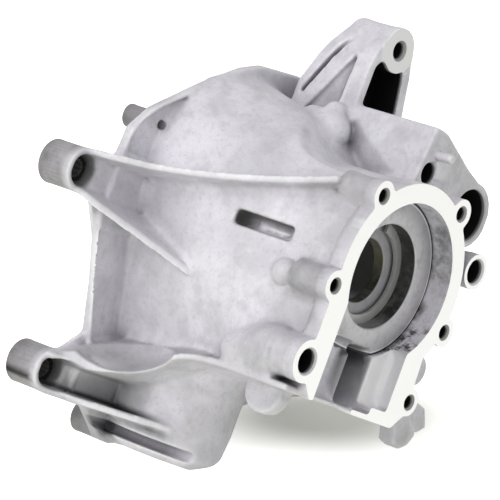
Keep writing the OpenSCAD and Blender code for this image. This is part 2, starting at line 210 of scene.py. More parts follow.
class Finish:
    """A material and its node tree."""

    def __init__(self, name):
        self.material = bpy.data.materials.new(name)
        self.material.use_nodes = True
        self.tree = self.material.node_tree
        self.tree.nodes.clear()
        self.out = self.tree.nodes.new("ShaderNodeOutputMaterial")

    def node(self, kind, settings=None, inputs=None, out=0):
        """Adds a node: settings first, then the values or links of its sockets."""
        n = self.tree.nodes.new(kind)
        for key, value in (settings or {}).items():
            setattr(n, key, value)
        for key, value in (inputs or {}).items():
            socket = n.inputs[key]
            if isinstance(value, Sock):
                self.tree.links.new(value.value, socket)
            else:
                socket.default_value = value
        return Sock(self, n.outputs[out])

    def place(self):
        return self.node("ShaderNodeTexCoord", out="Object")

    def noise(self, scale, detail, roughness, vector=None):
        return self.node("ShaderNodeTexNoise", None, {
            "Vector": vector or self.place(), "Scale": scale, "Detail": detail, "Roughness": roughness})

    def step(self, value, low, high):
        """0 below low, 1 above high, smooth between."""
        return self.node("ShaderNodeMapRange", {"interpolation_type": "SMOOTHSTEP"}, {
            "Value": value, "From Min": low, "From Max": high, "To Min": 0.0, "To Max": 1.0})

    def mix(self, factor, a, b):
        """A colour between a and b."""
        n = self.tree.nodes.new("ShaderNodeMix")
        n.data_type = "RGBA"
        for key, value in ((0, factor), (6, a), (7, b)):
            if isinstance(value, Sock):
                self.tree.links.new(value.value, n.inputs[key])
            else:
                n.inputs[key].default_value = value
        return Sock(self, n.outputs[2])

    def maximum(self, a, b):
        return self.node("ShaderNodeMath", {"operation": "MAXIMUM"}, {0: a, 1: b})

    def attribute(self, name):
        return self.node("ShaderNodeAttribute", {"attribute_name": name}, out="Fac")

    def metal(self, colour, roughness, metallic, bump=None, strength=0.3, distance=0.0002, specular=0.5):
        """The material's shader, with its bump in metres."""
        inputs = {"Base Color": colour, "Roughness": roughness, "Metallic": metallic,
                  "Specular IOR Level": specular}
        if bump is not None:
            inputs["Normal"] = self.node("ShaderNodeBump", None, {
                "Strength": strength, "Distance": distance, "Height": bump}, out="Normal")
        shader = self.node("ShaderNodeBsdfPrincipled", None, inputs, out="BSDF")
        self.tree.links.new(shader.value, self.out.inputs["Surface"])
        return self.material


def shade(value, tint=(1.0, 1.0, 1.0)):
    return (value * tint[0], value * tint[1], value * tint[2], 1.0)


def part_place(f):
    """The x, y and z of a point in mm from the joint face, as the drawing gives them."""
    split = f.tree.nodes.new("ShaderNodeSeparateXYZ")
    f.tree.links.new(f.place().value, split.inputs[0])
    x, y, z = (Sock(f, split.outputs[k]) for k in range(3))
    return x / MM - FACE_X, y / MM, z / MM


def cast_finish(sizes):
    """Die-cast skin: lavender grey, cloudy and fine grained, darker in places, rubbed edges with a painted
    highlight, painted light on a few faces, painted shade in its corners and creases, and black painted shade
    in holes.
    """
    f = Finish("cast_skin")
    cloud = f.noise(30.0, 4.0, 0.6)
    blotch = f.noise(95.0, 3.0, 0.6)
    spots = f.noise(420.0, 4.0, 0.65)
    grain = f.noise(1900.0, 3.0, 0.7)
    dull_and_shade = f.attribute("dull_and_shade")
    deep = f.attribute("deep")
    shaded = f.attribute("shaded")
    hollow = f.attribute("hollow")
    edge = f.attribute("edge")
    cloudy = shade(0.60, (1.0, 0.98, 1.05))
    colour = f.mix(f.step(cloud, 0.36, 0.64) * 0.75, tuple(sizes.cast_colour), cloudy)
    colour = f.mix(f.step(blotch, 0.42, 0.72) * 0.5, colour, shade(0.52, (1.0, 0.98, 1.05)))
    colour = f.mix(f.step(spots, 0.50, 0.72) * 0.3, colour, shade(0.42))
    colour = f.mix(f.step(grain, 0.45, 0.7) * 0.16, colour, shade(0.35))
    dark_skin_and_shade = f.mix(f.step(blotch, 0.4, 0.7), shade(0.27, (1.0, 0.97, 1.0)), shade(0.17))
    # Darker skin on the barrels and bosses, and painted shade in some places.
    colour = f.mix(dull_and_shade, colour, dark_skin_and_shade)
    # Painted shade: darker where nearer surfaces hide the sky.
    colour = f.mix(shaded * 0.72, colour, shade(0.085, (1.0, 0.96, 1.03)))
    # Painted shade in creases and inner corners.
    colour = f.mix(hollow * 0.35, colour, shade(0.12, (1.0, 0.97, 1.0)))
    # Paler: rubbed edges with a painted highlight, and painted light on the channel's pad, the low bay and
    # the arm's corner.
    colour = f.mix(edge * 0.7, colour, shade(0.9, (1.0, 1.0, 1.01)))
    # Black painted shade in holes, pockets, the side slot and dark corners.
    colour = f.mix(deep, colour, shade(0.012, (1.0, 1.0, 0.75)))
    rough = 0.52 + grain * 0.14 - edge * 0.14 + deep * 0.3
    height = grain * 0.55 + spots * 0.45
    return f.metal(colour, rough, 0.22 - deep * 0.2, height, 0.4, 0.0003, 0.25)


def milled_finish(sizes):
    """Milled faces: bright, with faint cutter marks, and greyer at the arm's eye."""
    f = Finish("milled_metal")
    x, y, z = part_place(f)
    marks = f.noise(900.0, 2.0, 0.6)
    cloud = f.noise(90.0, 3.0, 0.6)
    sweep = f.node("ShaderNodeMath", {"operation": "SINE"}, {0: (y * 0.8 + z * 0.6) * 9.0 + cloud * 6.0})
    at_eye = f.step(0.0 - x, 50.0, 60.0) * f.step(x, -90.0, -80.0)
    colour = f.mix(f.step(cloud, 0.55, 0.8) * 0.2, tuple(sizes.milled_colour), shade(0.74))
    colour = f.mix(at_eye, colour, shade(0.52))
    return f.metal(colour, 0.34 + marks * 0.1, 0.75, marks + sweep * 0.25, 0.08, 0.0001)


def turned_finish():
    """Turned chamber and bearing seat: a pale floor, an oily dark seat with painted shade at its top, the
    shaft hole painted dark as shade, tool rings, a black stain, and a painted highlight and a painted shadow
    line at the floor's groove.
    """
    f = Finish("turned_metal")
    x, y, z = part_place(f)
    depth = 0.0 - x
    below = 0.0 - z
    radius = f.node("ShaderNodeMath", {"operation": "SQRT"}, {0: y * y + z * z})
    rings = f.noise(1.0, 2.0, 0.5, f.node("ShaderNodeCombineXYZ", None, {0: radius * 2.6, 1: x * 2.6}))
    marks = f.noise(600.0, 2.0, 0.6)
    film = f.noise(45.0, 4.0, 0.65)
    fine = f.noise(170.0, 4.0, 0.7)

    wall = f.step(radius, CHAMBER_R - 1.5, CHAMBER_R - 0.9)
    pale = shade(0.58, (1.0, 0.985, 1.03))
    dim = shade(0.38, (1.0, 0.97, 1.06))
    floor = f.mix(f.step(radius, 28.0, 38.0) * 0.7, pale, dim)
    colour = f.mix(wall, floor, shade(0.78, (1.0, 0.98, 1.05)))

    seat = f.step(depth, CHAMBER_DEPTH + 0.3, CHAMBER_DEPTH + 1.2) * f.step(30.0 - radius, 0.0, 1.0)
    wet = shade(0.035, (0.92, 1.0, 0.88))
    oil_and_shade = f.mix(f.step(film + fine * 0.3, 0.5, 0.8), wet, shade(0.24, (1.0, 0.99, 0.98)))
    # Painted shade: the seat is darker towards its top.
    oil_and_shade = f.mix(f.step(z, -24.0, 12.0) * 0.85, oil_and_shade, shade(0.035, (0.94, 1.0, 0.86)))
    colour = f.mix(seat, colour, oil_and_shade)
    behind_ring = f.step(depth, RING_DEPTH - 0.1, RING_DEPTH + 0.1)
    colour = f.mix(seat * behind_ring, colour, shade(0.42, (0.98, 0.97, 1.03)))

    # Painted shade inside the shaft hole, near black below and dark olive above.
    bore = f.step(depth, SEAT_DEPTH + 0.1, SEAT_DEPTH + 0.6) * f.step(20.0 - radius, 3.0, 4.0)
    brown = shade(0.03, (1.0, 0.95, 0.6))
    olive = shade(0.11, (1.0, 0.98, 0.6))
    colour = f.mix(bore, colour, f.mix(f.step(z, -4.0, 10.0), brown, olive))
    colour = f.mix(f.step(fine, 0.45, 0.72) * 0.35, colour, shade(0.2, (0.97, 1.0, 0.95)))

    high = f.step(y, 12.0, 26.0) * f.step(z, 0.0, 14.0) * f.step(radius, 35.0, 38.5) * wall
    high = high * f.step(fine + film * 0.5, 0.5, 0.95)
    colour = f.mix(high * 0.6, colour, shade(0.12, (0.97, 1.0, 0.98)))
    far = f.step(y, 14.0, 22.0)
    low = f.step(below, 1.0, 9.0) * far * f.step(radius, 37.0, 38.4) * f.step(depth, 7.5, 11.5)
    low = f.maximum(low, f.step(below, 13.0, 19.0) * far * wall * f.step(fine, 0.38, 0.62))
    colour = f.mix(low * f.step(film + fine, 0.6, 1.15) * 0.95, colour, shade(0.02, (1.0, 0.95, 0.9)))

    # Painted highlight along the inner edge of the floor's groove.
    glint = f.step(radius, 37.5, 37.8) * f.step(FLOOR_R - radius, 0.0, 0.2) * f.step(depth, 11.5, 11.9)
    colour = f.mix(glint * 0.8, colour, shade(0.8))
    # Painted shadow line in the floor's groove.
    line = f.step(depth, CHAMBER_DEPTH + 0.1, CHAMBER_DEPTH + 0.4) * f.step(radius, 38.2, 38.5)
    colour = f.mix(line * 0.85, colour, shade(0.03))
    return f.metal(colour, 0.42 + marks * 0.2, 0.35, rings + marks * 0.5 + fine * 0.6, 0.1, 0.0001, 0.2)


def hole_finish():
    """The walls of deep holes: grey at the mouth and painted black further in, as painted shade."""
    f = Finish("hole")
    deep = f.attribute("deep")
    colour = f.mix(f.step(deep, 0.0, 0.5), shade(0.42), shade(0.012))
    return f.metal(colour, 0.8, 0.0, specular=0.04)


def ring_finish(sizes):
    f = Finish("ring_steel")
    marks = f.noise(500.0, 2.0, 0.6)
    base = tuple(sizes.ring_colour)
    colour = f.mix(f.step(marks, 0.5, 0.8) * 0.4, base, (base[0] * 0.6, base[1] * 0.6, base[2] * 0.6, 1.0))
    return f.metal(colour, 0.4 + marks * 0.15, 0.5, marks, 0.1, 0.0001)


def floor_finish():
    """A pale floor that shows the object's shadow near it and turns plain white further away."""
    f = Finish("floor")
    split = f.tree.nodes.new("ShaderNodeSeparateXYZ")
    f.tree.links.new(f.place().value, split.inputs[0])
    x, y = (Sock(f, split.outputs[k]) for k in range(2))
    away = f.node("ShaderNodeMath", {"operation": "SQRT"}, {0: x * x + y * y})
    camera = f.node("ShaderNodeLightPath", out="Is Camera Ray")
    glossy = f.node("ShaderNodeLightPath", out="Is Glossy Ray")
    glow = f.maximum(camera, glossy) * (f.step(away, 0.02, 0.09) * 0.88 + 0.1)
    shader = f.node("ShaderNodeBsdfPrincipled", None, {
        "Base Color": shade(0.84, (0.985, 1.0, 0.9)), "Roughness": 0.8, "Emission Strength": 1.0,
        "Emission Color": f.mix(glow, shade(0.0), shade(1.0))}, out="BSDF")
    f.tree.links.new(shader.value, f.out.inputs["Surface"])
    return f.material


# Small modelling helpers

def pick_none():
    if bpy.context.object and bpy.context.object.mode != "OBJECT":
        bpy.ops.object.mode_set(mode="OBJECT")
    bpy.ops.object.select_all(action="DESELECT")


def work_on(piece):
    pick_none()
    piece.select_set(True)
    bpy.context.view_layer.objects.active = piece


def at(x, y, z):
    """A place of the drawing, in mm from the joint face, as a place in the scene."""
    return Vector(((x + FACE_X) * MM, y * MM, z * MM))


def rod(name, place, r, x0, x1, sides=64):
    """A closed cylinder along the crank axis, from x0 to x1 in mm from the joint face."""
    pick_none()
    bpy.ops.mesh.primitive_cylinder_add(
        vertices=sides, radius=r * MM, depth=(x1 - x0) * MM,
        location=at((x0 + x1) / 2, place[0], place[1]), rotation=(0.0, math.pi / 2, 0.0))
    piece = bpy.context.object
    piece.name = name
    bpy.ops.object.transform_apply(location=True, rotation=True, scale=True)
    return piece


def turned(name, place, stations, sides=96):
    """A turned solid along the crank axis from [x, radius] stations, x falling."""
    pick_none()
    x, r = stations[0]
    bpy.ops.mesh.primitive_circle_add(
        vertices=sides, radius=r * MM, fill_type="NGON",
        location=at(x, place[0], place[1]), rotation=(0.0, math.pi / 2, 0.0))
    piece = bpy.context.object
    piece.name = name
    bpy.ops.object.transform_apply(location=True, rotation=True, scale=True)
    bpy.ops.object.mode_set(mode="EDIT")
    bpy.ops.mesh.select_all(action="SELECT")
    for x1, r1 in stations[1:]:
        bpy.ops.mesh.extrude_region_move(TRANSFORM_OT_translate={"value": ((x1 - x) * MM, 0.0, 0.0)})
        bpy.ops.transform.resize(value=(1.0, r1 / r, r1 / r), center_override=at(x1, place[0], place[1]))
        x, r = x1, r1
    bpy.ops.mesh.select_all(action="SELECT")
    bpy.ops.mesh.normals_make_consistent(inside=False)
    bpy.ops.object.mode_set(mode="OBJECT")
    return piece


def block(name, low, high):
    """A closed box between two places of the drawing."""
    pick_none()
    bpy.ops.mesh.primitive_cube_add(size=1.0, location=(at(*low) + at(*high)) / 2)
    piece = bpy.context.object
    piece.name = name
    piece.scale = [abs(a - b) * MM for a, b in zip(low, high)]
    bpy.ops.object.transform_apply(location=True, rotation=True, scale=True)
    return piece


def prism(name, axis, outline, low, high):
    """A closed solid with an outline square to axis 0, 1 or 2, in the order of the other two axes."""
    pick_none()
    centre = [0.0, 0.0, 0.0]
    centre[axis] = low
    turn = ((0.0, math.pi / 2, 0.0), (math.pi / 2, 0.0, 0.0), (0.0, 0.0, 0.0))[axis]
    bpy.ops.mesh.primitive_circle_add(
        vertices=len(outline), radius=0.001, location=at(*centre), rotation=turn)
    piece = bpy.context.object
    piece.name = name
    bpy.ops.object.transform_apply(location=True, rotation=True, scale=True)
    for k, (a, b) in enumerate(outline):
        place = [a, b]
        place.insert(axis, low)
        for v in piece.data.vertices:
            v.select = v.index == k
        move = at(*place) - piece.data.vertices[k].co
        bpy.ops.object.mode_set(mode="EDIT")
        bpy.ops.transform.translate(value=move)
        bpy.ops.object.mode_set(mode="OBJECT")
    bpy.ops.object.mode_set(mode="EDIT")
    bpy.ops.mesh.select_all(action="SELECT")
    bpy.ops.mesh.edge_face_add()
    step = [0.0, 0.0, 0.0]
    step[axis] = (high - low) * MM
    bpy.ops.mesh.extrude_region_move(TRANSFORM_OT_translate={"value": step})
    bpy.ops.mesh.select_all(action="SELECT")
    bpy.ops.mesh.normals_make_consistent(inside=False)
    bpy.ops.object.mode_set(mode="OBJECT")
    return piece


def ball(name, place, radii):
    """A ball with three radii, centred at a place of the drawing."""
    pick_none()
    bpy.ops.mesh.primitive_uv_sphere_add(segments=48, ring_count=32, radius=MM, location=at(*place))
    piece = bpy.context.object
    piece.name = name
    piece.scale = radii
    bpy.ops.object.transform_apply(location=True, rotation=True, scale=True)
    return piece


def turn_about(piece, place, angle):
    """Turns a piece about the upright line through a place of the drawing."""
    work_on(piece)
    bpy.ops.object.mode_set(mode="EDIT")
    bpy.ops.mesh.select_all(action="SELECT")
    bpy.ops.transform.rotate(value=angle, orient_axis="Z", center_override=at(*place))
    bpy.ops.object.mode_set(mode="OBJECT")
    return piece


def join(pieces):
    work_on(pieces[0])
    for p in pieces[1:]:
        p.select_set(True)
    bpy.ops.object.join()
    return bpy.context.object


def apply_modifier(piece, kind, **settings):
    work_on(piece)
    m = piece.modifiers.new(kind.title(), kind)
    for key, value in settings.items():
        setattr(m, key, value)
    bpy.ops.object.modifier_apply(modifier=m.name)


def cut(piece, cutter):
    apply_modifier(piece, "BOOLEAN", operation="DIFFERENCE", solver="MANIFOLD", object=cutter)
    bpy.data.objects.remove(cutter)


def hole(place, r, mouth, bottom, c):
    """A cutter for a hole with a chamfered mouth that faces the joint face."""
    return turned("hole", place, [[mouth + 2.0, r + c + 2.0], [mouth, r + c], [mouth - c, r],
                                  [mouth - 2.0, r], [mouth - 3.5, r], [mouth - 5.5, r], [bottom, r]])


def numbers(items, name):
    """A property of all of a mesh's points or faces as rows of three numbers."""
    flat = np.empty(len(items) * 3)
    items.foreach_get(name, flat)
    return flat.reshape(-1, 3)


def places(items, name):
    """Where a mesh's points or faces are, in mm from the joint face: all x, all y and all z."""
    return (numbers(items, name) / MM - [FACE_X, 0, 0]).T


def edge_ends(mesh):
    ends = np.empty(len(mesh.edges) * 2, dtype=np.int64)
    mesh.edges.foreach_get("vertices", ends)
    return ends.reshape(-1, 2).T


def curvature(mesh):
    """How far the surface bends at each point: below zero on edges, above zero in corners."""
    co = numbers(mesh.vertices, "co")
    no = numbers(mesh.vertices, "normal")
    a, b = edge_ends(mesh)
    d = co[b] - co[a]
    length = np.maximum(np.linalg.norm(d, axis=1), 1e-7)
    bend = np.zeros(len(co))
    count = np.zeros(len(co))
    np.add.at(bend, a, (no[a] * d).sum(1) / length ** 2)
    np.add.at(bend, b, -(no[b] * d).sum(1) / length ** 2)
    np.add.at(count, a, 1)
    np.add.at(count, b, 1)
    return spread(mesh, bend / np.maximum(count, 1), 3)


def shading(mesh):
    """How much of the sky above each point nearer surfaces take up, 0 in the open and 1 in a slit; the cast
    skin is painted darker by it as shade.
    """
    tree = BVHTree.FromPolygons([tuple(v.co) for v in mesh.vertices],
                                [tuple(p.vertices) for p in mesh.polygons])
    spiral = [(math.sqrt((k + 0.5) / SKY_RAYS), k * GOLDEN_ANGLE) for k in range(SKY_RAYS)]
    rays = [Vector((s * math.cos(t), s * math.sin(t), math.sqrt(1.0 - s * s))) for s, t in spiral]
    result = np.zeros(len(mesh.vertices))
    for i, v in enumerate(mesh.vertices):
        turn = v.normal.to_track_quat("Z", "Y")
        start = v.co + v.normal * RAY_START
        for ray in rays:
            far = tree.ray_cast(start, turn @ ray, RAY_REACH)[3]
            if far is not None:
                result[i] += 1.0 - 0.6 * far / RAY_REACH
    return spread(mesh, result / SKY_RAYS, 2)


def spread(mesh, values, passes):
    """Evens out values between neighbouring points."""
    a, b = edge_ends(mesh)
    count = np.ones(len(values))
    np.add.at(count, a, 1)
    np.add.at(count, b, 1)
    for _ in range(passes):
        total = values.copy()
        np.add.at(total, a, values[b])
        np.add.at(total, b, values[a])
        values = total / count
    return values


def soft(value, low, high):
    """0 below low, 1 above high and even between."""
    return np.clip((value - low) / (high - low), 0.0, 1.0)


def within(value, low, high):
    """True between low and high."""
    return (value > low) & (value < high)


def distance(y, z, place):
    """How far points are from a line along the crank axis."""
    return np.hypot(y - place[0], z - place[1])


def arm_across(x, y):
    """How far points are from the arm's near flank, which stands at a small angle."""
    return y - ARM_SIDE - (ARM_FACE - x) * math.tan(ARM_TURN)


def in_channel(y, z):
    """True across the channel below the crank chamber."""
    return within(y, -37.0, 27.0) & within(z, -66.0, -20.0)


def store(mesh, name, values):
    layer = mesh.attributes.new(name, "FLOAT", "POINT")
    layer.data.foreach_set("value", np.asarray(values, dtype=np.float32))


class MakeCasting(bpy.types.Operator):
    """Rebuilds the casting's skin with rounded cast edges, then mills and turns its faces and holes"""
    bl_idname = "crankcase.casting"
    bl_label = "Casting"

    def execute(self, context):
        sizes = context.scene.crankcase
        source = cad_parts["casting"]
        pick_none()
        piece = bpy.data.objects.new("crankcase_casting", source.data.copy())
        context.scene.collection.objects.link(piece)
        piece.data.materials.clear()
        work_on(piece)
        bpy.ops.object.mode_set(mode="EDIT")
        bpy.ops.mesh.select_all(action="SELECT")
        bpy.ops.mesh.remove_doubles(threshold=1e-6)
        bpy.ops.mesh.select_all(action="DESELECT")
        self.grow_end(piece, lambda x: x > (FACE_X - 0.01) * MM, 3.0)
        self.grow_end(piece, lambda x: x < (REAR_X + 0.01) * MM, -2.0)
        bpy.ops.object.mode_set(mode="OBJECT")
        self.scoop(piece)
        piece = join([piece] + self.plugs())
        piece.name = "crankcase_casting"
        apply_modifier(piece, "REMESH", mode="VOXEL", voxel_size=sizes.grain, adaptivity=0.0)
        apply_modifier(piece, "SMOOTH", factor=0.6, iterations=sizes.rounding)
        self.iron(piece, sizes.ironing)
        kept = sizes.triangles / (2.0 * len(piece.data.polygons))
        apply_modifier(piece, "DECIMATE", ratio=min(1.0, kept))
        self.machine(piece, sizes.chamfer / MM)
        self.dress(piece, sizes)
        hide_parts("casting")
        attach(piece, "root")
        return {"FINISHED"}

    def grow_end(self, piece, test, by):
        """Moves the points of an end face outwards, so that milling it back leaves a crisp edge."""
        bpy.ops.object.mode_set(mode="OBJECT")
        for v in piece.data.vertices:
            v.select = test(v.co.x)
        bpy.ops.object.mode_set(mode="EDIT")
        bpy.ops.transform.translate(value=(by * MM, 0.0, 0.0))
        bpy.ops.mesh.select_all(action="DESELECT")

    def plugs(self):
        """Rods that fill the holes while the skin is rounded, and the forms that are added to the casting."""
        made = [rod("plug", (0, 0), SEAT_R + SPARE, -SEAT_DEPTH - 0.2, -CHAMBER_DEPTH + 1.0),
                rod("plug", (0, 0), SHAFT_HOLE_R + SPARE, -29.8, -SEAT_DEPTH + 1.0)]
        for h in SCREW_HOLES + DOWEL_HOLES:
            made.append(rod("plug", h.place, h.radius + SPARE, h.bottom - 0.2, 3.0))
        for h in PORTS:
            made.append(rod("plug", h.place, h.radius + SPARE, h.bottom - 0.2, PORT_FACE - 0.2))
        made += [rod("plug", EYE, EYE_HOLE.radius + SPARE, ARM_BACK - 0.8, ARM_FACE + 0.5),
                 rod("plug", EYE, EYE_R, ARM_FACE - 8.0, ARM_FACE + 1.0)]
        made += [rod("plug", p, BOSS_HOLE_R + SPARE, BOSS_END - 2.0, -128.2) for p in LONG_BOSSES]
        made += [rod("plug", p, r + SPARE, BOSS_END - 2.0, x - 0.2) for p, r, x in REAR_HOLES]
        made += self.pocket_floors()
        made.append(block("corner", (-26.0, -25.0, -33.8), (-11.5, -3.0, -22.0)))
        made.append(ball("slot_ridge", (-45.4, -47.0, 2.4), (9.5, 2.8, 1.7)))
        made.append(ball("knuckle", (-77.0, 4.5, 61.0), (13.0, 9.5, 11.0)))
        made += [self.lip(), self.floor_rim()]
        return made

    def pocket_floors(self):
        """Fillers for the groove below the low boss and for the floor of the low pocket."""
        duct = [(-111.0, -26.0), (-95.0, -34.8), (-79.0, -30.5),
                (-72.0, -20.0), (-72.0, -14.0), (-111.0, -14.0)]
        bay = [(-120.0, -66.0), (-113.5, -60.0), (-106.0, -43.0),
               (-99.0, -35.0), (-98.0, -20.0), (-120.0, -20.0)]
        return [prism("duct_floor", 2, duct, -117.2, -110.8), prism("bay_floor", 2, bay, -101.5, -85.0)]

    def floor_rim(self):
        """The rim that narrows the groove round the chamber's floor, left out at the channel."""
        rim = rod("floor_rim", (0, 0), CHAMBER_R + 0.9, -15.2, -11.4, FINE_SIDES)
        cut(rim, rod("bore", (0, 0), 35.6, -17.0, -9.0, FINE_SIDES))
        cut(rim, block("channel", (-20.0, -37.0, -60.0), (-8.0, 12.6, -24.8)))
        return rim

    def scoop(self, piece):
        """Hollows the shelf's sloping top, and cuts the arm's recess and groove a little deeper."""
        hollow = ball("scoop", (-95.0, -78.0, -66.0), (31.5, 36.0, 21.5))
        cut(hollow, block("rear_flange", (-135.0, -120.0, -100.0), (-118.6, -30.0, -30.0)))
        cut(piece, hollow)
        recess = [(-79.6, 103.0), (-84.0, 103.0), (-102.5, 68.0), (-79.6, 68.0)]
        dip = [(-79.6, 101.0), (-82.6, 101.0), (-85.5, 68.0), (-79.6, 68.0)]
        groove = [(-80.0, 124.0), (-84.5, 124.0), (-108.0, 77.0), (-105.0, 77.0)]
        head = [(-77.5, 129.0), (-82.0, 129.0), (-92.0, 109.0), (-87.5, 109.0)]
        for outline, depth in ((recess, 3.6), (dip, 6.6), (groove, 5.0), (head, 11.0)):
            cutter = prism("recess", 1, outline, -6.0, ARM_SIDE + depth)
            cut(piece, turn_about(cutter, (ARM_FACE, ARM_SIDE, 90.0), ARM_TURN))

    def lip(self):
        """The shelf's S-shaped lip."""
        half_thick = 1.7
        steps = [-121.5 + 5.0 * k for k in range(13)]
        middle = [-65.0 - 25.0 / (1.0 + math.exp((x + 81.0) / 8.0)) for x in steps]
        outline = [(x, z - half_thick) for x, z in zip(steps, middle)]
        outline += [(x, z + half_thick) for x, z in zip(reversed(steps), reversed(middle))]
        lip = prism("lip", 1, outline, -83.0, -48.0)
        outside = [(-130.0, -88.0), (-122.0, -83.8), (-104.0, -70.8), (-91.0, -64.8), (-80.0, -59.3),
                   (-58.0, -53.8), (-50.0, -53.8), (-50.0, -95.0), (-130.0, -95.0)]
        cut(lip, prism("outside", 2, outside, -110.0, -50.0))
        return lip

    def smooth_some(self, piece, some, passes):
        """Smooths only the points that are picked."""
        group = piece.vertex_groups.new(name="picked")
        group.add(np.nonzero(some)[0].tolist(), 1.0, "REPLACE")
        apply_modifier(piece, "SMOOTH", factor=0.9, iterations=passes, vertex_group="picked")
        piece.vertex_groups.clear()

    def iron(self, piece, passes):
        """Smooths the wide faces and fills the inner corners with a fillet, and leaves the outer edges."""
        edges = (curvature(piece.data) < -40.0).astype(float)
        a, b = edge_ends(piece.data)
        for _ in range(2):
            wider = edges.copy()
            np.maximum.at(wider, a, edges[b])
            np.maximum.at(wider, b, edges[a])
            edges = wider
        x, y, z = places(piece.data.vertices, "co")
        arm = (x < ARM_FACE + 2.0) & within(y, 0.0, 16.0) & (z > 66.0)
        crisp = (x > -6.0) | (x < -116.5) | arm
        self.smooth_some(piece, (edges == 0) & ~crisp, passes)
        barrels = np.zeros(len(x), dtype=bool)
        for p in BARRELS:
            barrels |= (distance(y, z, p) < BARREL_R) & within(x, BOSS_END + 1.5, -126.0)
        self.smooth_some(piece, barrels, 20)

    def machine(self, piece, c):
        """Mills the flat faces, turns the chamber and drills the holes."""
        cut(piece, block("joint_mill", (0.0, -WIDE, -WIDE), (12.0, WIDE, WIDE)))
        cut(piece, block("rear_mill", (BOSS_END - 12.0, -WIDE, -WIDE), (BOSS_END, WIDE, WIDE)))
        cut(piece, rod("eye_mill", EYE, 13.0, ARM_FACE, ARM_FACE + 8.0))
        lead = 0.6
        groove_end = RING_DEPTH + RING_GROOVE_W
        cut(piece, turned("chamber", (0, 0), [
            [2.0, CHAMBER_R], [-CHAMBER_DEPTH, CHAMBER_R],
            [-CHAMBER_DEPTH, SEAT_R + lead], [-CHAMBER_DEPTH - lead, SEAT_R],
            [-RING_DEPTH, SEAT_R], [-RING_DEPTH, RING_GROOVE_R],
            [-groove_end, RING_GROOVE_R], [-groove_end, SEAT_R],
            [-SEAT_DEPTH, SEAT_R], [-SEAT_DEPTH, SHAFT_HOLE_R + lead],
            [-SEAT_DEPTH - lead, SHAFT_HOLE_R], [-34.0, SHAFT_HOLE_R]], FINE_SIDES))
        front, back = -CHAMBER_DEPTH + 1.0, -CHAMBER_DEPTH - 1.0
        cut(piece, turned("floor_groove", (0, 0), [
            [front, CHAMBER_R], [back, CHAMBER_R], [back, FLOOR_R], [front, FLOOR_R]], FINE_SIDES))
        for h in FRONT_HOLES:
            cut(piece, hole(h.place, h.radius, h.mouth, h.bottom, h.chamfer or c))
        for p in LONG_BOSSES:
            cut(piece, rod("bore", p, BOSS_HOLE_R, BOSS_END - 1.0, -124.0))
        for p, r, x in REAR_HOLES:
            cut(piece, rod("bore", p, r, BOSS_END - 1.0, x + 1.5))

    def deep(self, x, y, z, facing):
        """Where no light gets: the arm's hollow and the insides of the holes."""
        inside = np.zeros(len(x))
        for h in FRONT_HOLES:
            wall = distance(y, z, h.place) / h.radius < 1.12
            end = max(h.bottom - 1.0, ARM_BACK + 2.0)
            inside = np.maximum(inside, wall * within(x, end, h.dark) * soft(h.dark - x, 0.0, 4.0))
        across = arm_across(x, y)
        hollow = within(x, ARM_BACK - 1.0, ARM_FACE - 0.5) & within(across, 3.9, 36.0)
        hollow &= within(z, 69.0, 103.0)
        back_or_far_side = (facing[:, 0] <= -0.3) | ((facing[:, 1] >= 0.3) & (across >= 12.0))
        hollow &= (distance(y, z, EYE) > 10.5) & ~back_or_far_side
        return np.maximum(inside, np.where(hollow, soft(ARM_FACE - x, 0.5, 4.0), 0.0))

    def slot_shade(self, x, y, z):
        """The side slot: black at its rear end and along its upper wall."""
        dx, dy, up = x - SLOT[0], y - SLOT[1], z - SLOT[2]
        along = dx * math.cos(SLOT_TURN) + dy * math.sin(SLOT_TURN)
        inward = dy * math.cos(SLOT_TURN) - dx * math.sin(SLOT_TURN)
        near = within(along, -16.6, 16.6) & within(up, -4.1, 4.1) & within(inward, 0.7, 8.5)
        rear_end = 0.9 * soft(-along, 2.0, 10.0)
        upper_wall = 0.8 * soft(up, -0.6, 2.4)
        lower_wall = 0.5 * soft(-up, 2.6, 3.8)
        dark = np.maximum.reduce([rear_end, upper_wall, lower_wall])
        return np.where(near, dark * soft(inward, 0.4, 2.0), 0.0)

    def pockets(self, x, y, z):
        """The pockets of the screw heads, painted black as shade at their far ends."""
        pockets = np.zeros(len(x))
        for p in LONG_BOSSES:
            near = soft(9.8 - distance(y, z, p), 0.0, 3.5)
            pockets = np.maximum(pockets, near * soft(-x, 110.0, 119.0) * (x > -130.5))
        return pockets

    def black_painted_shade(self, x, y, z, towards):
        """Black painted shade in corners: beside and below the low web, in the nook by the duct, in the
        trough, and on the bell's inside seen through the shaft hole.
        """
        beside_sump = (y > -59.5 + (x + 103.0) * 1.12) & (y < -22.0)
        web = 0.98 * soft(-100.0 - z, 0.0, 2.6) * (z > -104.6) * soft(-x, 74.0, 94.0) * beside_sump
        below_web = 0.7 * soft(2.3 - np.abs(z + 108.3), 0.0, 1.6) * soft(-x, 73.0, 80.0)
        below_web = below_web * soft(x, -112.0, -84.0) * beside_sump
        nook = 0.95 * soft(4.6 - distance(y, z, (-25.0, -114.3)), 0.0, 1.5) * within(x, -126.0, -112.0)
        trough = 0.9 * soft(z, -62.0, -40.0) * (z < -34.2) * within(x, -32.0, -12.4) * within(y, -5.9, 12.9)
        # Painted shade on the bell's inside, seen through the shaft hole.
        bell_shade = 0.97 * soft(1.3 - np.hypot((x + 65.0) / 28.0, z / 24.0), 0.0, 0.5) * soft(y, 22.0, 30.0)
        bell_shade = bell_shade * (towards < 0.2) * (x < -31.0)
        return np.maximum.reduce([web, below_web, nook, trough, bell_shade])

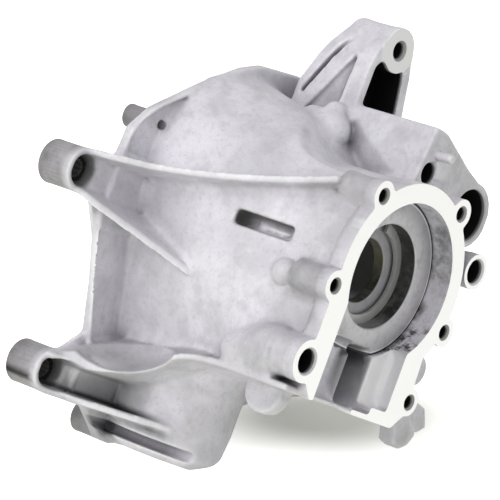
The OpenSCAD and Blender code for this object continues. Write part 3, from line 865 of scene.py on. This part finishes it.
    def dull_and_shade(self, x, y, z, level):
        """Where the skin is darker: the barrels, the duct boss, behind the joint flange and on the top lug,
        and painted shade on the shelf's up-facing top, on the near lug, between the arm and the ports and in
        the arm's recess.
        """
        barrels = np.zeros(len(x))
        for p in BARRELS:
            barrels = np.where(distance(y, z, p) < BARREL_R, soft(-x, 121.0, 131.0), barrels)
        behind_flange = 0.25 * soft(-x, 0.2, 1.5) * soft(x, -40.0, -26.0)
        behind_flange = behind_flange * soft(np.hypot(y, z), 43.0, 46.0) * ~in_channel(y, z)
        # Painted shade between the arm and the ports.
        ports = 0.28 * soft(y, 10.0, 20.0) * soft(z, 26.0, 36.0) * soft(x, -68.0, -60.0) * soft(-x, 8.0, 16.0)
        # Painted shade on the shelf's top where it faces up.
        shelf = 0.5 * soft(level, 0.3, 0.7) * soft(-y, 36.0, 42.0) * soft(-z, 56.0, 62.0)
        shelf = shelf * soft(x, -122.0, -118.0)
        # Painted shade on the shadow side of the near lug.
        near_lug = 0.6 * soft(12.5 - distance(y, z, (-50.0, -15.0)), 0.0, 3.5)
        near_lug = near_lug * soft(-x, 0.2, 1.5) * soft(x, -27.0, -23.0)
        top_lug = 0.45 * soft(12.0 - distance(y, z, JOINT_SCREWS[0]), 0.0, 3.0)
        top_lug = top_lug * soft(-x, 0.2, 1.5) * soft(x, -30.0, -24.0)
        duct = 0.4 * soft(-x, 106.0, 113.0) * (z < -106.5) * (y < -20.0)
        # Painted shade in the arm's recess.
        left = -84.0 - (103.0 - z) * 0.53
        inside_recess = within(x, left, -79.4) & within(z, 67.0, 103.5) & within(arm_across(x, y), 1.0, 9.0)
        recess = inside_recess * (0.35 + 0.45 * soft(x, -84.0, -81.0))
        return np.maximum.reduce([barrels, behind_flange, ports, shelf, near_lug, duct, top_lug, recess])

    def lit(self, x, y, z):
        """How much of the shading counts: less in the channel and in the bays beside the ribs."""
        channel = within(x, -13.0, 0.0) & in_channel(y, z)
        bay = (x < -70.0) & (y < -12.0) & within(z, -118.0, -84.0)
        corner = (x < -80.0) & (y < -40.0) & within(z, -60.0, 12.0)
        return np.where(channel, 0.1, np.where(bay, 0.2, np.where(corner, 0.4, 1.0)))

    def worn_and_painted_light(self, mesh, x, y, z, bend, dull_and_shade):
        """Where the skin is pale: rubbed edges with a painted highlight, a paler channel pad with painted
        light on it, painted light on the low bay's floor and a painted highlight on the arm's corner.
        """
        # Rubbed edges, with a painted highlight along them.
        edges = spread(mesh, soft(-bend, 50.0, 220.0), 1) * soft(1.0 - dull_and_shade, 0.35, 1.0)
        # The channel's pad: paler, with painted light on it.
        pad = 0.9 * (within(x, -9.6, -0.2) & within(y, 12.2, 26.5) & within(z, -62.5, -30.0))
        # Painted light on the low bay's floor, which the lamps don't reach.
        bay = 0.8 * soft(-x, 94.0, 104.0) * within(y, -68.0, -26.0)
        bay = bay * soft(z, -103.0, -100.0) * soft(-z, 82.0, 86.0)
        # Painted highlight on the arm's corner.
        arm = 0.6 * (within(x, -79.6, -77.0) & within(y, 5.0, 11.0) & within(z, 72.0, 103.5))
        return np.maximum.reduce([edges, pad, bay, arm])

    def dress(self, piece, sizes):
        """Stores the painted shade in creases and under nearer surfaces, the darker skin and painted shade,
        the rubbed edges with painted highlights and painted light, and the black painted shade, and gives
        each face its finish.
        """
        mesh = piece.data
        x, y, z = places(mesh.vertices, "co")
        facing = numbers(mesh.vertices, "normal")
        bend = curvature(mesh)
        # Painted shade in creases, from how the surface bends.
        store(mesh, "hollow", soft(bend, 50.0, 220.0))
        # Painted shade where nearer surfaces hide the sky, weakened where lit() says.
        store(mesh, "shaded", soft(shading(mesh), 0.12, 0.75) ** 1.2 * self.lit(x, y, z))
        # Darker skin, and painted shade in some places.
        dull_and_shade = spread(mesh, self.dull_and_shade(x, y, z, facing[:, 2]), 1)
        store(mesh, "dull_and_shade", dull_and_shade)
        # Paler skin: rubbed edges with a painted highlight, and painted light.
        store(mesh, "edge", self.worn_and_painted_light(mesh, x, y, z, bend, dull_and_shade))
        # Black painted shade where no light gets.
        deep = self.deep(x, y, z, facing)
        pockets = spread(mesh, self.pockets(x, y, z), 3)
        # Painted shade: black in the side slot, in corners and on the bell behind the shaft hole.
        black_painted_shade = np.maximum(self.slot_shade(x, y, z), self.black_painted_shade(x, y, z, facing[:, 1]))
        store(mesh, "deep", np.maximum.reduce([deep, spread(mesh, black_painted_shade, 2), pockets]))
        mesh.materials.clear()
        for m in (cast_finish(sizes), milled_finish(sizes), turned_finish(), hole_finish()):
            mesh.materials.append(m)
        mesh.polygons.foreach_set("material_index", self.finishes(mesh, deep, pockets))
        work_on(piece)
        bpy.ops.object.shade_smooth_by_angle(angle=math.radians(34))

    def finishes(self, mesh, deep, pockets):
        """The finish of each face, by its place and by how much black painted shade its corners carry."""
        x, y, z = places(mesh.polygons, "center")
        front = numbers(mesh.polygons, "normal")[:, 0]
        finish = np.full(len(x), CAST, dtype=np.int32)
        finish[(np.abs(x) < FLAT) & (front > 0.9)] = MILLED
        finish[(np.abs(x - BOSS_END) < FLAT) & (front < -0.9)] = MILLED
        finish[(np.abs(x - ARM_FACE) < FLAT) & (front > 0.9) & (distance(y, z, EYE) < 12.0)] = MILLED
        finish[(np.hypot(y, z) < CHAMBER_R + 0.1) & within(x, -31.0, -FLAT) & (z > -41.0)] = TURNED
        corners = np.empty(len(mesh.loops), dtype=np.int64)
        mesh.loops.foreach_get("vertex_index", corners)
        starts = np.empty(len(mesh.polygons), dtype=np.int64)
        mesh.polygons.foreach_get("loop_start", starts)
        any_deep = np.maximum.reduceat(deep[corners], starts) > 0.02
        all_pocket = np.minimum.reduceat(pockets[corners], starts) > 0.9
        finish[(any_deep | all_pocket) & (finish == CAST)] = DARK_HOLE
        return finish


class MakeSnapRing(bpy.types.Operator):
    """Gives the snap ring its steel"""
    bl_idname = "crankcase.snap_ring"
    bl_label = "Snap ring"

    def execute(self, context):
        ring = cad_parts["snap_ring"]
        ring.data.materials.clear()
        ring.data.materials.append(ring_finish(context.scene.crankcase))
        return {"FINISHED"}


class MakeStage(bpy.types.Operator):
    """Sets the floor, the lights, the white surroundings and the camera"""
    bl_idname = "crankcase.stage"
    bl_label = "Stage"

    def execute(self, context):
        sizes = context.scene.crankcase_stage
        turn = Euler([math.radians(a) for a in CAMERA_TURN]).to_matrix()
        right, up, back = turn.col
        self.camera(context, turn)
        # The camera looks down on the floor by 15 degrees.
        level = (0.966 * up + 0.259 * back).normalized()
        self.floor(level, sizes.floor_size)
        self.lamps(context, right, back, level, sizes)
        self.sky(context, sizes.sky)
        context.scene.view_settings.view_transform = "Standard"
        return {"FINISHED"}

    def camera(self, context, turn):
        data = bpy.data.cameras.new("camera")
        camera = bpy.data.objects.new("camera", data)
        context.scene.collection.objects.link(camera)
        matrix = turn.to_4x4()
        matrix.translation = at(*CAMERA_PLACE)
        camera.matrix_world = matrix
        data.lens = CAMERA_LENS
        data.sensor_width = 36.0
        data.clip_start = 0.05
        data.clip_end = 20.0
        context.scene.camera = camera

    def floor(self, level, size):
        pick_none()
        turn = level.to_track_quat("Z", "Y")
        bpy.ops.mesh.primitive_plane_add(size=size, location=FLOOR_PLACE, rotation=turn.to_euler())
        floor = bpy.context.object
        floor.name = "floor"
        floor.data.materials.append(floor_finish())

    def lamp(self, context, name, place, target, size, power, colour):
        data = bpy.data.lights.new(name, "AREA")
        data.shape = "DISK"
        data.size = size
        data.energy = power
        data.color = colour
        lamp = bpy.data.objects.new(name, data)
        lamp.location = place
        lamp.rotation_euler = (target - place).to_track_quat("-Z", "Y").to_euler()
        context.scene.collection.objects.link(lamp)

    def lamps(self, context, right, back, level, sizes):
        white = (1.0, 1.0, 1.0)
        lamps = (("key", 0.55, -0.38, 0.48, 0.9, sizes.key_power, (1.0, 0.99, 1.0)),
                 ("fill", 0.5, 0.8, 0.3, 0.5, sizes.fill_power, white),
                 ("bounce", 0.5, -0.5, -0.02, 0.3, sizes.bounce_power, white))
        for name, nearer, aside, higher, size, power, colour in lamps:
            place = LIT_PLACE + nearer * back + aside * right + higher * level
            self.lamp(context, name, place, LIT_PLACE, size, power, colour)

    def sky(self, context, strength):
        world = bpy.data.worlds.new("surroundings")
        context.scene.world = world
        world.use_nodes = True
        nodes, links = world.node_tree.nodes, world.node_tree.links
        nodes.clear()
        out = nodes.new("ShaderNodeOutputWorld")
        path = nodes.new("ShaderNodeLightPath")
        light = nodes.new("ShaderNodeBackground")
        light.inputs["Strength"].default_value = strength
        seen = nodes.new("ShaderNodeBackground")
        seen.inputs["Color"].default_value = (1.0, 1.0, 1.0, 1.0)
        mix = nodes.new("ShaderNodeMixShader")
        either = nodes.new("ShaderNodeMath")
        either.operation = "MAXIMUM"
        links.new(path.outputs["Is Camera Ray"], either.inputs[0])
        links.new(path.outputs["Is Glossy Ray"], either.inputs[1])
        links.new(either.outputs[0], mix.inputs[0])
        links.new(light.outputs[0], mix.inputs[1])
        links.new(seen.outputs[0], mix.inputs[2])
        links.new(mix.outputs[0], out.inputs[0])


class CrankcasePanel(bpy.types.Panel):
    """Shows the steps and the settings of the crankcase half"""
    bl_idname = "VIEW3D_PT_crankcase"
    bl_label = "Crankcase half"
    bl_space_type = "VIEW_3D"
    bl_region_type = "UI"
    bl_category = "Crankcase"

    def draw(self, context):
        for step in STEPS:
            self.layout.operator(step.bl_idname)
        for name in ("grain", "rounding", "ironing", "triangles", "chamfer",
                     "cast_colour", "milled_colour", "ring_colour"):
            self.layout.prop(context.scene.crankcase, name)
        for name in ("key_power", "fill_power", "bounce_power", "sky", "floor_size"):
            self.layout.prop(context.scene.crankcase_stage, name)


STEPS = (MakeCasting, MakeSnapRing, MakeStage)
CLASSES = (CastingSizes, StageSizes) + STEPS + (CrankcasePanel,)


def register():
    for c in CLASSES:
        bpy.utils.register_class(c)
    bpy.types.Scene.crankcase = PointerProperty(type=CastingSizes)
    bpy.types.Scene.crankcase_stage = PointerProperty(type=StageSizes)


def unregister():
    del bpy.types.Scene.crankcase
    del bpy.types.Scene.crankcase_stage
    for c in reversed(CLASSES):
        bpy.utils.unregister_class(c)


def main():
    register()
    bpy.ops.crankcase.casting()
    bpy.ops.crankcase.snap_ring()
    bpy.ops.crankcase.stage()


if __name__ == "__main__":
    main()
